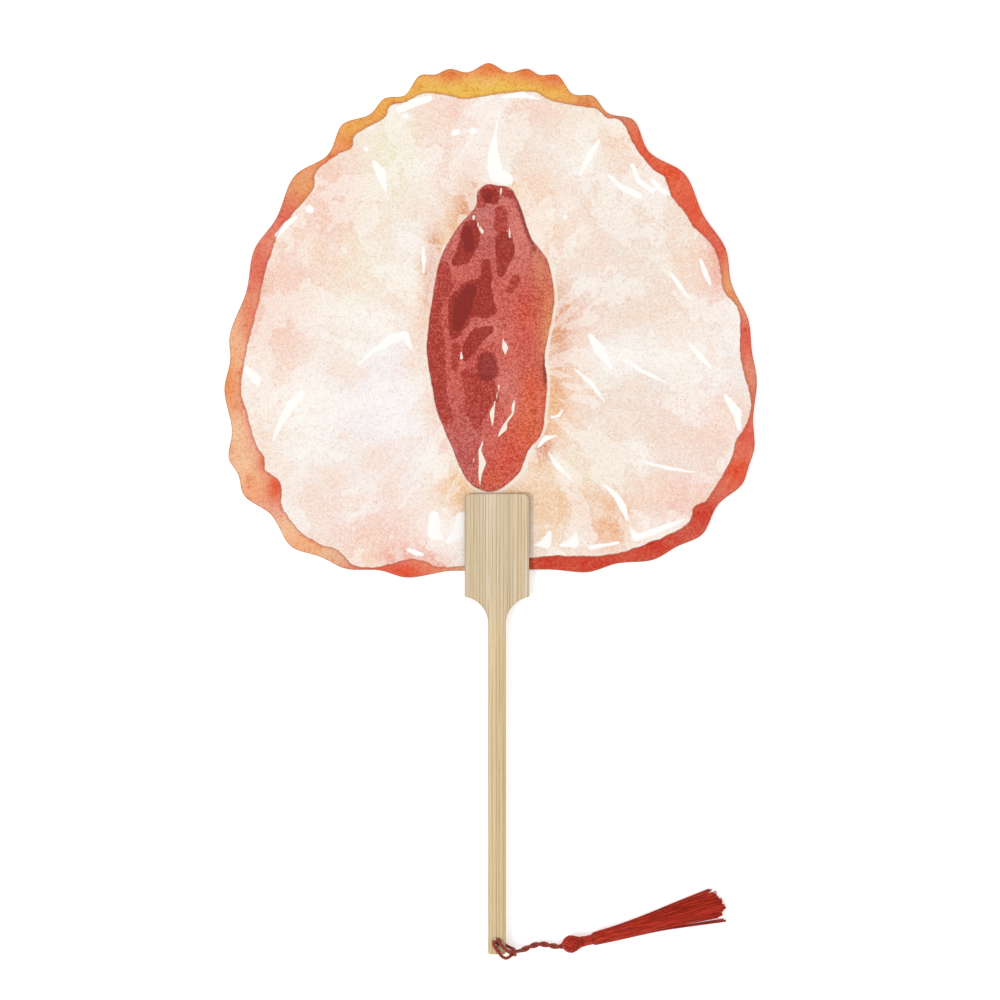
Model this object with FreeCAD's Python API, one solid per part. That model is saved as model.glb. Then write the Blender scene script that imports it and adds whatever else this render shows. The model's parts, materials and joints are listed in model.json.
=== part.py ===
"""A printed paper hand fan on a flat bamboo handle, with a tassel on a cord. Millimetres.

The fan lies face up. +Y runs from the butt of the handle to the top of the blade, +X to the right
and +Z up. The origin is the centre of the rear plate's back face, which the fan rests on.
"""

import FreeCAD, Part
import math
import os

Vector = FreeCAD.Vector
UP = Vector(0, 0, 1)

# Thicknesses, from the resting face up
plate_thick = 1.3
paper_thick = 0.2
card_thick = 0.5
handle_thick = 2.6

# Handle
head_width = 27.6
head_top = 22.1
head_corner = 2.6
shoulder_radius = 11.8
shoulder_bottom = -33.7
shaft_width = 7.5
butt_end = -175.4
butt_corner = 1.0
hole_y = -170.1
hole_diameter = 3.5
hole_chamfer = 0.3
hole_overcut = 1.0
edge_round = 0.4

# Blade: crests and valleys of its scalloped edge, from the top down each side to the tab
top_crest = (-3.5, 207)
right_edge = [
    (5, 203), (13.5, 204.5), (18, 202), (25.5, 202), (33, 193.5), (41, 193), (47, 186), (58, 183),
    (64.5, 170), (79.5, 160.5), (88.5, 142), (98.5, 126.5), (100.5, 113), (108, 96.5), (109.5, 83),
    (111.5, 72), (110, 52), (110.5, 41.5), (108, 33.5), (105.5, 26.5), (95, 17.5), (88, 4.5),
    (77.5, -0.5), (68, -6), (51, -8), (40, -11.5), (29, -11), (19.5, -10.5),
]
left_edge = [
    (-13, 203), (-20.5, 204.5), (-27, 202), (-32.5, 202), (-40, 193), (-48, 192), (-54, 185.5),
    (-66, 181), (-72, 168.5), (-85.5, 160), (-95, 140), (-104, 127.5), (-107.5, 109.5), (-115, 86.5),
    (-114.5, 81), (-117, 68), (-114, 46.5), (-115, 36.5), (-111.5, 31), (-109, 22), (-97.5, 13.5),
    (-88.5, -0.5), (-76, -5), (-65.5, -10), (-49.5, -11), (-40, -13.8), (-34, -13.6), (-26, -12),
    (-17.5, -11),
]
tab_width = 25.0
tab_end = -21.5

# Cord: one strand's diameter, the twisted pair's outer diameter, and the gap at a joint
cord = 1.3
pair = 2.5
joint_gap = 0.3

# The hitch, as one strand: from the stem over the face of the butt, down the hole, along the back
# and up round the stem's root, then back the same way on the other side
hitch_route = [
    (8.7, -173.3, 4.6), (7.0, -173.5, 5.0), (5.0, -172.9, 5.9), (2.6, -171.5, 5.95),
    (0.35, -169.6, 5.95), (0.3, -169.5, 0.95), (3.4, -170.7, 0.95), (6.4, -171.2, 1.0),
    (8.15, -171.3, 2.8), (8.2, -171.4, 6.3), (8.2, -176.5, 6.3), (8.1, -177.0, 2.8),
    (6.4, -175.9, 1.0), (3.0, -173.1, 0.95), (-0.35, -170.7, 0.95), (-0.45, -170.8, 5.95),
    (0.2, -173.6, 5.95), (2.2, -176.1, 5.9), (5.0, -176.5, 5.7), (7.0, -175.0, 5.0),
    (8.7, -174.65, 4.6),
]
stem_root = Vector(10.4, -173.8, 4.2)
stem_eye = Vector(26.6, -172.2, 3.7)
stem_route = [
    stem_root, Vector(12.9, -172.8, 3.8), Vector(16.2, -171.5, 2.6), Vector(19.8, -171.2, 2.0),
    Vector(23.2, -171.9, 2.6), stem_eye,
]

# Tassel, on an axis that turns away from the stem; the head's taper starts past the ball's middle by
# a share of its diameter, with a share of its width
tassel_turn = 12.5
ball_diameter = 7.4
taper_start = 0.3
taper_width = 0.8
neck_diameter = 3.9
binding_diameter = 4.5
binding_start = 8.5
binding_length = 5.0
binding_round = 0.2
knot_diameter = 3.4
eye_diameter = 2.8

# Skirt: distance past the binding, sideways lean, half width, half height, height of its middle
skirt_sections = [
    (0.0, 0.0, 2.1, 2.1, 3.7), (12.0, 0.5, 3.1, 2.0, 2.4), (28.0, 1.9, 3.9, 1.8, 2.0),
    (39.0, 2.9, 5.0, 1.5, 1.7), (56.0, 4.2, 6.4, 1.2, 1.4),
]

blade_bottom = plate_thick
core_bottom = blade_bottom + paper_thick
front_bottom = core_bottom + card_thick
handle_bottom = front_bottom + paper_thick


def points_at(pairs, z=0.0):
    return [Vector(x, y, z) for x, y in pairs]


def slab(wire, bottom, thick):
    """A flat solid: the closed wire's area, raised to bottom and thickened upwards."""
    solid = Part.Face(wire).extrude(UP * thick)
    solid.translate(UP * bottom)
    return solid


def arc(centre, radius, start_deg, end_deg):
    """An arc from one angle to the other, turning the shorter way that the signs give."""
    def at(deg):
        turn = math.radians(deg)
        return Vector(centre[0] + radius * math.cos(turn), centre[1] + radius * math.sin(turn), 0)
    return Part.Arc(at(start_deg), at((start_deg + end_deg) / 2), at(end_deg)).toShape()


def joined(edges):
    """A closed wire: the edges in order, with straight lines across the gaps."""
    whole = []
    for edge, after in zip(edges, edges[1:] + edges[:1]):
        whole.append(edge)
        here, there = edge.lastVertex(True).Point, after.firstVertex(True).Point
        if here.distanceToPoint(there) > 1e-6:
            whole.append(Part.makeLine(here, there))
    return Part.Wire(whole)


def head_outline(lower_edges):
    """The paddle head's outline, counterclockwise from its top right corner."""
    inner_x = head_width / 2 - head_corner
    inner_y = head_top - head_corner
    right = arc((inner_x, inner_y), head_corner, 90, 0)
    left = arc((-inner_x, inner_y), head_corner, 180, 90)
    return joined([right] + lower_edges + [left])


def shoulder_meets_head():
    """The angle, at the shoulder arc's centre, where the arc reaches the side of the head."""
    across = shaft_width / 2 + shoulder_radius - head_width / 2
    return math.degrees(math.acos(across / shoulder_radius))


def make_handle():
    centre_x = shaft_width / 2 + shoulder_radius
    meets = shoulder_meets_head()
    inner_x = shaft_width / 2 - butt_corner
    inner_y = butt_end + butt_corner
    lower_edges = [
        arc((centre_x, shoulder_bottom), shoulder_radius, 180 - meets, 180),
        arc((inner_x, inner_y), butt_corner, 0, -90),
        arc((-inner_x, inner_y), butt_corner, -90, -180),
        arc((-centre_x, shoulder_bottom), shoulder_radius, 0, meets),
    ]
    solid = slab(head_outline(lower_edges), handle_bottom, handle_thick)
    top = handle_bottom + handle_thick
    rims = [e for e in solid.Edges if all(abs(v.Z - top) < 1e-6 for v in e.Vertexes)]
    solid = solid.makeFillet(edge_round, rims)
    return solid.cut(cord_hole())


def cord_hole():
    """The cord's hole through the butt, opened a little at both faces."""
    radius = hole_diameter / 2
    wide = radius + hole_chamfer
    top = handle_bottom + handle_thick
    place = Vector(0, hole_y, 0)
    length = handle_thick + 2 * hole_overcut
    drill = Part.makeCylinder(radius, length, place + UP * (handle_bottom - hole_overcut))
    lower = Part.makeCone(wide, radius, hole_chamfer, place + UP * handle_bottom)
    upper = Part.makeCone(radius, wide, hole_chamfer, place + UP * (top - hole_chamfer))
    return drill.fuse([lower, upper])


def make_rear_plate():
    corner_y = shoulder_bottom + shoulder_radius * math.sin(math.radians(shoulder_meets_head()))
    half = head_width / 2
    foot = Part.makeLine(Vector(half, corner_y, 0), Vector(-half, corner_y, 0))
    return slab(head_outline([foot]), 0, plate_thick)


def blade_outline():
    """The scalloped edge as one smooth curve, and the tab that goes down inside the handle."""
    rim = list(reversed(right_edge)) + [top_crest] + left_edge
    curve = Part.BSplineCurve()
    curve.interpolate(points_at(rim))
    half = tab_width / 2
    tab_top = rim[0][1]
    lower_left = points_at([(-half, rim[-1][1]), (-half, tab_end)])
    lower_right = points_at([(half, tab_end), (half, tab_top)])
    corners = [curve.EndPoint] + lower_left + lower_right + [curve.StartPoint]
    sides = [Part.makeLine(a, b) for a, b in zip(corners, corners[1:])]
    return Part.Wire([curve.toShape()] + sides)


def corner_radius(before, here, after):
    """0.45 of the shorter run over the tangent of half the turn, and that turn."""
    run_in, run_out = here - before, after - here
    turn = run_in.getAngle(run_out)
    return 0.45 * min(run_in.Length, run_out.Length) / math.tan(turn / 2), turn


def route_edges(name, route):
    """Straight runs joined by tangent arcs, and the radius of each arc, printed."""
    edges, radii, start = [], [], route[0]
    for before, here, after in zip(route, route[1:], route[2:]):
        radius, turn = corner_radius(before, here, after)
        setback = radius * math.tan(turn / 2)
        run_in = (here - before).normalize()
        run_out = (after - here).normalize()
        first, last = here - run_in * setback, here + run_out * setback
        inward = (run_out - run_in).normalize()
        centre = here + inward * (radius / math.cos(turn / 2))
        middle = centre - inward * radius
        edges.append(Part.LineSegment(start, first).toShape())
        edges.append(Part.Arc(first, middle, last).toShape())
        radii.append(round(radius, 2))
        start = last
    edges.append(Part.LineSegment(start, route[-1]).toShape())
    print(name, "bend radii", radii)
    return edges


def tube(name, route, diameter):
    """A round tube along the route, and its volume against its section times its length."""
    edges = route_edges(name, route)
    spine = Part.Wire(edges)
    heading = route[1] - route[0]
    section = Part.Wire([Part.makeCircle(diameter / 2, route[0], heading)])
    solid = spine.makePipeShell([section], True, True)
    expected = math.pi * diameter**2 / 4 * spine.Length
    print(name, "length", round(spine.Length, 1), "volume share", round(solid.Volume / expected, 3))
    return solid


def make_hitch():
    return tube("hitch_loop", [Vector(*p) for p in hitch_route], cord)


def make_stem():
    """The twisted pair as one tube of its outer size, with a round end at each joint."""
    solid = tube("cord_stem", stem_route, pair)
    ends = [Part.makeSphere(pair / 2, stem_root), Part.makeSphere(pair / 2, stem_eye)]
    return solid.fuse(ends)


def along_tassel(distance, sideways=0.0, height=0.0):
    """A point on the tassel: so far past the stem's eye, so far to its left, so far above it."""
    turn = math.radians(tassel_turn)
    ahead = Vector(math.cos(turn), math.sin(turn), 0)
    left = Vector(-math.sin(turn), math.cos(turn), 0)
    return stem_eye + ahead * distance + left * sideways + UP * height


def turned_on_tassel(profile):
    """A solid of revolution from (distance, radius) points about the tassel's axis."""
    flat = [Vector(distance, radius, 0) for distance, radius in profile]
    face = Part.Face(Part.makePolygon(flat + flat[:1]))
    solid = face.revolve(Vector(0, 0, 0), Vector(1, 0, 0), 360)
    solid.rotate(Vector(0, 0, 0), UP, tassel_turn)
    solid.translate(stem_eye)
    return solid


def ball_middle():
    return pair / 2 + joint_gap + ball_diameter / 2


def neck_start():
    return pair / 2 + joint_gap + binding_start


def make_tassel_head():
    """The ball and its taper to the neck, with the hollow that holds the knot."""
    ball_at = ball_middle()
    taper_from = ball_at + ball_diameter * taper_start
    neck_at = neck_start()
    wide = ball_diameter / 2 * taper_width
    ball = Part.makeSphere(ball_diameter / 2, along_tassel(ball_at))
    taper = turned_on_tassel([
        (taper_from, 0), (taper_from, wide), (neck_at, neck_diameter / 2), (neck_at, 0),
    ])
    hollow = Part.makeSphere(knot_diameter / 2 + joint_gap, along_tassel(ball_at))
    eye = turned_on_tassel([
        (0, 0), (0, eye_diameter / 2), (ball_at, eye_diameter / 2), (ball_at, 0),
    ])
    return ball.fuse(taper).removeSplitter().cut(hollow).cut(eye)


def make_knot():
    """The knot on the ends of the cord, held by the wall of the head's hollow."""
    return Part.makeSphere(knot_diameter / 2, along_tassel(ball_middle() + joint_gap))


def make_neck_binding():
    """The wound band round the neck, as a ring with rounded shoulders."""
    start = along_tassel(neck_start())
    heading = along_tassel(1) - along_tassel(0)
    band = Part.makeCylinder(binding_diameter / 2, binding_length, start, heading)
    rims = [e for e in band.Edges if len(e.Vertexes) == 1]
    band = band.makeFillet(binding_round, rims)
    return band.cut(Part.makeCylinder(neck_diameter / 2, binding_length, start, heading))


def make_skirt():
    """The bundle of threads: a stub inside the binding, then a bundle that sinks and spreads."""
    start = neck_start()
    end = start + binding_length
    stub = turned_on_tassel([
        (start, 0), (start, neck_diameter / 2), (end, neck_diameter / 2), (end, 0),
    ])
    heading = along_tassel(1) - along_tassel(0)
    rings = []
    for distance, sideways, half_width, half_height, middle in skirt_sections:
        centre = along_tassel(end + distance, sideways, middle - stem_eye.z)
        ring = Part.makeCircle(1, Vector(0, 0, 0), Vector(1, 0, 0))
        scale = FreeCAD.Matrix()
        scale.scale(Vector(1, half_width, half_height))
        ring = ring.transformGeometry(scale)
        ring.rotate(Vector(0, 0, 0), UP, math.degrees(math.atan2(heading.y, heading.x)))
        ring.translate(centre)
        rings.append(Part.Wire([ring]))
    bundle = Part.makeLoft(rings, True, False)
    return stub.fuse(bundle)


def main():
    outline = blade_outline()
    made = {
        "handle": make_handle(),
        "rear_clamp_plate": make_rear_plate(),
        "blade_back_print": slab(outline, blade_bottom, paper_thick),
        "blade_core_card": slab(outline, core_bottom, card_thick),
        "blade_front_print": slab(outline, front_bottom, paper_thick),
        "hitch_loop": make_hitch(),
        "cord_stem": make_stem(),
        "cord_knot": make_knot(),
        "tassel_head": make_tassel_head(),
        "neck_binding": make_neck_binding(),
        "tassel_skirt": make_skirt(),
    }
    os.makedirs("parts", exist_ok=True)
    for name, shape in made.items():
        print(name, "valid", shape.isValid(), "volume", round(shape.Volume, 1))
        shape.exportStep(os.path.join("parts", name + ".step"))


main()
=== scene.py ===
import json
import math
import random

import bmesh
import bpy
import numpy as np
from bpy.props import FloatProperty, FloatVectorProperty, IntProperty, PointerProperty
from mathutils import Matrix, Vector


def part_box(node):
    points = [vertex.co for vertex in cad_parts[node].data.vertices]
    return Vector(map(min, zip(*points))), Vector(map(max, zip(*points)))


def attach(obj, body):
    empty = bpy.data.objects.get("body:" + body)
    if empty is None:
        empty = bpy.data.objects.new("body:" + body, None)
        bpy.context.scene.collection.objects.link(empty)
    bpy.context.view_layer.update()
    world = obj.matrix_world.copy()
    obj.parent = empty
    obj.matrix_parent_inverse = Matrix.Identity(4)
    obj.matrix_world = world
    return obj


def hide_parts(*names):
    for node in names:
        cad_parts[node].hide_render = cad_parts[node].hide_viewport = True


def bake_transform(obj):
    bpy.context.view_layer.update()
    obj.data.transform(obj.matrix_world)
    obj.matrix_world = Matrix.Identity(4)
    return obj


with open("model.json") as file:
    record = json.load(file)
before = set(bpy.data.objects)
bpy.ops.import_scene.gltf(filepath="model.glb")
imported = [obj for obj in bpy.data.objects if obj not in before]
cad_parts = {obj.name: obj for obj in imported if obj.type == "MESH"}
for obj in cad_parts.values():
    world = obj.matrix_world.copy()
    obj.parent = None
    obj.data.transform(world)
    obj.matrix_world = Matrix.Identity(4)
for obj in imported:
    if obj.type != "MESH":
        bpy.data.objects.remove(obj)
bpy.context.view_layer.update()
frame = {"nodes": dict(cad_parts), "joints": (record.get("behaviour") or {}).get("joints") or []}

bl_info = {
    "name": "Round Paper Hand Fan",
    "version": (1, 0, 0),
    "blender": (4, 5, 0),
    "location": "3D View > Sidebar > Hand Fan",
    "description": "Finishes a printed paper hand fan on a bamboo handle, with a tassel on a cord",
    "category": "Object",
}

mm = 0.001

# Stage: the point below the camera, in metres, and the lamp's tilt and softness, in degrees
view_middle = (0.0013, 0.0194)
lamp_tilt = (14, -38)
lamp_softness = 16

# Painting, in millimetres on the blade: where the rind's wash stops inside the cut edge, and the
# stone's outline
rind_line = [
    (-13, 191.5), (-7.5, 192.5), (3, 194), (16.5, 194.5), (24.5, 190.5), (42, 187.5), (47, 183.5),
    (53.5, 182), (60, 170), (67.5, 161), (72, 158), (75, 149.5), (80.5, 143), (84.5, 136.5),
    (92, 129.5), (95.5, 121.5), (97.5, 109.5), (104, 100), (104.5, 81), (109, 62), (107, 51.5),
    (102.5, 45), (101, 38), (91, 20.5), (84.5, 16.5), (81, 8.5), (60, -1), (44.5, -4.5),
    (23.5, -4.5), (14.5, -5.5), (-21.5, -9.5), (-32, -6.5), (-40, -6.5), (-52, -9.5), (-61.5, -8.5),
    (-68, -2.5), (-76, 0.5), (-84.5, 5.8), (-92.3, 16.5), (-92.5, 23), (-93.8, 28),
    (-99.5, 32.3), (-99.8, 37.5), (-103.5, 43.5), (-107.5, 57), (-110, 67.5),
    (-107.5, 84), (-103, 101.5), (-99.3, 118), (-94, 133.5), (-90.5, 139), (-79, 153), (-78, 160),
    (-69, 167.5), (-62.5, 170.5), (-60.5, 176.5), (-48.5, 183.5), (-46, 188.5), (-39, 190.5),
    (-32, 194), (-24, 193.5),
]
stone_line = [
    (-6, 154), (-3.5, 155), (0, 154.5), (5.5, 153.5), (8.5, 149), (11, 143), (12.5, 138),
    (15, 131.5), (18.5, 127), (22, 121.5), (24.5, 109), (23.5, 97), (20.5, 82), (21.5, 70.5),
    (20.5, 57), (19, 48), (13.5, 40.5), (9.5, 31), (2, 24.5), (-2.5, 23), (-6, 23.5), (-11, 26),
    (-15.5, 32.5), (-19.5, 42.5), (-25.8, 57.5), (-28.3, 70.5), (-30, 81.5), (-30, 89), (-28, 104),
    (-24.5, 122.5), (-17.5, 135.5), (-9.5, 145), (-8.5, 151.5),
]

# Where the flesh's veins fan out from
vein_middle = (0, 75, 0)

# Strokes: runs of (x, y, half width), in millimetres. The gleams are bare paper in the flesh; the
# others are the stone's dark blots, their darkest cores, its wine-red lobes and its cream glints
gleams = [
    [(1, 186.4, 0.3), (-0.2, 179.3, 0.4), (-1, 175.5, 0.8), (-1.6, 169.4, 2.0), (-1.3, 163.4, 2.9),
     (-0.2, 159.3, 3.2), (4.6, 157, 2.4)],
    [(-53, 165, 0.6), (-50, 160, 2.2), (-48, 152.5, 0.5)], [(-18.4, 177, 1.3), (-17.2, 177.4, 1.3)],
    [(-10.6, 178, 1.2), (-9.8, 177.6, 1.2)], [(-39.4, 184, 1.1), (-38.8, 184, 1.0)],
    [(-56.5, 170.3, 0.9), (-56, 170, 0.9)], [(-80.6, 144.5, 1.5), (-80, 144, 1.4)],
    [(29.2, 141, 0.8), (29.4, 140.6, 0.8)], [(2, 192.4, 0.4), (9.7, 193.4, 1.2), (18.5, 191.6, 0.4)],
    [(-42, 187, 1.4), (-36, 189.8, 1.8), (-29, 191.8, 1.3)],
    [(-94.6, 133, 0.7), (-90, 138, 1.3), (-86, 141, 0.6)],
    [(-59.8, 77.4, 0.4), (-52.5, 83.9, 0.9), (-46, 88.2, 1.9), (-39.5, 90.3, 1.5), (-36.6, 83.9, 0.5)],
    [(-52, 84, 0.8), (-48, 84.5, 0.5)], [(-107.5, 75.5, 1.4), (-103.5, 71.5, 2.0), (-102.5, 69, 0.6)],
    [(-84, 65, 1.3), (-88.5, 60, 2.0), (-93, 52.5, 1.2), (-96, 45, 0.5)],
    [(-27, 12.5, 2.0), (-27, 5, 2.8), (-24.5, 3.5, 1.4)],
    [(-15.5, 12.5, 1.7), (-17, 5, 2.3), (-21, 1.5, 1.1)],
    [(-38, -2, 0.7), (-35, -3.3, 1.0), (-32, -4, 0.6)],
    [(-31.8, 129, 0.3), (-31.5, 123, 0.9), (-31.5, 117, 0.4)],
    [(35.7, 159, 0.4), (40, 167.5, 1.4), (44, 174, 0.6)],
    [(47.7, 159, 0.5), (54, 153.5, 1.1), (61, 150, 1.4)],
    [(58, 163.4, 0.7), (61, 156, 1.1), (67, 152, 0.9)],
    [(66.5, 157, 0.6), (70, 153, 1.2), (74, 150.5, 0.5)],
    [(87.3, 122.5, 0.6), (89.5, 117, 1.2), (91.6, 112, 0.5)],
    [(73.5, 118, 0.4), (78, 112, 1.0), (83, 105.4, 0.4)], [(40, 90, 0.9), (44, 84, 2.2), (49, 76, 0.7)],
    [(33, 76, 0.4), (40, 70, 1.0), (46, 62, 0.4)], [(54, 79.6, 0.4), (63, 74.5, 0.9), (72.5, 70, 0.4)],
    [(82, 87, 0.5), (87, 81.5, 1.2), (92, 76, 0.5)], [(22, 40, 0.3), (26, 34, 1.1), (32, 28, 0.4)],
    [(45.4, 26.5, 0.3), (51.5, 21, 1.3), (54, 16.5, 1.5), (56.4, 10, 0.4)],
    [(57, 7.7, 0.4), (59.8, 3.4, 1.6), (62, 3.8, 1.2), (66, 5.4, 1.4), (73, 8, 1.1), (80.5, 11, 0.4)],
    [(16.5, 0, 0.3), (21, 1, 2.4), (23, 6, 0.4)], [(27, 0, 0.3), (33, 1, 2.2), (34, 5, 0.4)],
    [(40, -1, 0.8), (52, 1, 0.6)], [(98, 64, 0.8), (103, 57, 2.0), (104, 50, 0.8)],
    [(62, 36, 0.3), (74, 33, 0.8), (86, 31, 0.3)],
    [(28.3, 58.2, 0.3), (26.5, 55.6, 0.5), (23.2, 54.8, 0.4)],
    [(25.5, 46.8, 0.4), (21, 46, 0.9), (18, 42.5, 0.6)],
]
blots = [
    [(-4.5, 150.5, 2.0), (-2, 149.5, 2.6)],
    [(-11, 136, 3.2), (-11.8, 130.5, 3.6), (-14.6, 124, 2.8), (-17.3, 122, 1.6)],
    [(3.1, 131, 3.2), (3.5, 126, 3.4), (1.7, 117, 1.2)],
    [(-4.6, 121.4, 1.1), (-4.8, 114, 2.0), (-9.5, 106, 7.4)],
    [(-9.5, 106, 7.4), (-5, 101.5, 3.6), (-2, 100.6, 1.4)],
    [(-9.5, 106, 7.4), (-15, 104, 5.2), (-16.4, 96.5, 3.8), (-18.2, 90.7, 1.6)],
    [(-3.2, 92.5, 1.2), (-8.7, 89.8, 2.6), (-11.8, 84.4, 2.4), (-13.6, 80.7, 1.0)],
]
cores = [
    [(-4.2, 79, 4.2), (-4, 75, 4.6)], [(-12.7, 135, 2.2), (-12, 128, 2.4)],
    [(-11.4, 109.7, 2.6), (-14.6, 103, 4.2)], [(-14.6, 103, 4.2), (-17, 94, 2.2)],
    [(-3.3, 150.5, 1.5), (-4, 148.5, 1.8)],
    [(7, 152.8, 0.6), (11, 141.5, 1.2), (13.5, 134.5, 1.4), (16.5, 125.5, 0.6)],
    [(20.5, 81, 0.3), (20.9, 75, 1.6), (20.7, 69, 0.4)],
]
lobes = [
    [(-23.1, 119, 2.4), (-21.8, 111.5, 2.6), (-25.9, 103.5, 1.6), (-26.3, 98, 1.8), (-26.4, 84, 3.4),
     (-25.6, 75, 3.4), (-24.5, 65, 2.6), (-21.3, 54.5, 2.2)],
    [(-12.3, 72.6, 2.8), (-6.9, 66.3, 6.6), (-8.7, 59, 4.8), (-9, 52, 1.6)],
    [(-6.9, 66.3, 6.6), (-2.3, 63.5, 2.8)],
    [(-7, 147, 1.8), (-4, 152, 2.6), (2, 152.5, 1.8), (6, 150, 1.2)],
    [(1.7, 143.2, 2.2), (1.7, 137, 2.6)], [(-17.7, 85, 1.5), (-18.2, 76, 1.1)],
    [(8.1, 114.2, 1.5), (5.8, 109.7, 1.3)],
]
glints = [
    [(-15.3, 82.9, 0.2), (-15.2, 80.4, 0.7)], [(2.7, 88.7, 0.2), (3.5, 84.8, 1.3), (3.5, 81.9, 0.2)],
    [(0.9, 68.6, 0.4), (-0.2, 63.4, 0.2), (-1.2, 60.3, 0.3), (-2.1, 56.6, 1.0), (-2, 50.9, 0.2)],
    [(7.9, 63.4, 0.2), (6.9, 59.2, 0.7), (6.8, 56.6, 0.4), (3.8, 52.4, 0.5), (3.2, 50.4, 1.2),
     (0.4, 46.5, 0.2)],
    [(-5.6, 45.9, 0.2), (-7.4, 40.5, 0.6), (-6.2, 35.2, 1.5), (-7.2, 31, 0.8), (-7.4, 25.9, 0.2)],
    [(-10.1, 37, 0.3), (-10.6, 34, 0.3)], [(-10, 141.2, 0.5), (-10.2, 140, 0.5)],
    [(-8.6, 139.5, 0.2), (-7.6, 136.5, 0.5), (-6.3, 134.6, 0.8)], [(4.5, 138.4, 0.2), (5.8, 132, 0.5)],
    [(1.9, 153, 0.4), (1.2, 149.5, 0.3)], [(2.9, 92.2, 0.2), (2.9, 91.2, 0.3)],
]

# Paint colours, as they look on the sheet
colour_of = {
    "white": "fcfaf5", "milk": "f5f0ee", "lilac": "f5f1f7", "cream": "f4ebdd", "lemon": "f1e7cd",
    "leaf": "eeeacb", "peach": "f4d6c0", "blush": "f4dad0", "rose": "f3c9bb", "coral": "ea9a84",
    "apricot": "e8a76c", "amber": "efbd80", "sand": "efdccd", "shell": "ebddd4", "rust": "d98d6a",
    "butter": "eec45e", "gold": "ebac52", "orange": "ec9252", "salmon": "e58462", "flame": "e04f2c",
    "brick": "cb3f2b", "rosy": "dc5a48", "straw": "f3c99e", "tan": "e6c39c", "clay": "d98466",
    "pink": "d66a60", "crimson": "b03a31", "tawny": "e0683a", "ember": "d8582e", "wine": "a63229",
    "scarlet": "d8462a", "melon": "f2ac7c", "maize": "e8bf45", "dusky": "bc443b", "petal": "dc8177",
}

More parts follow.
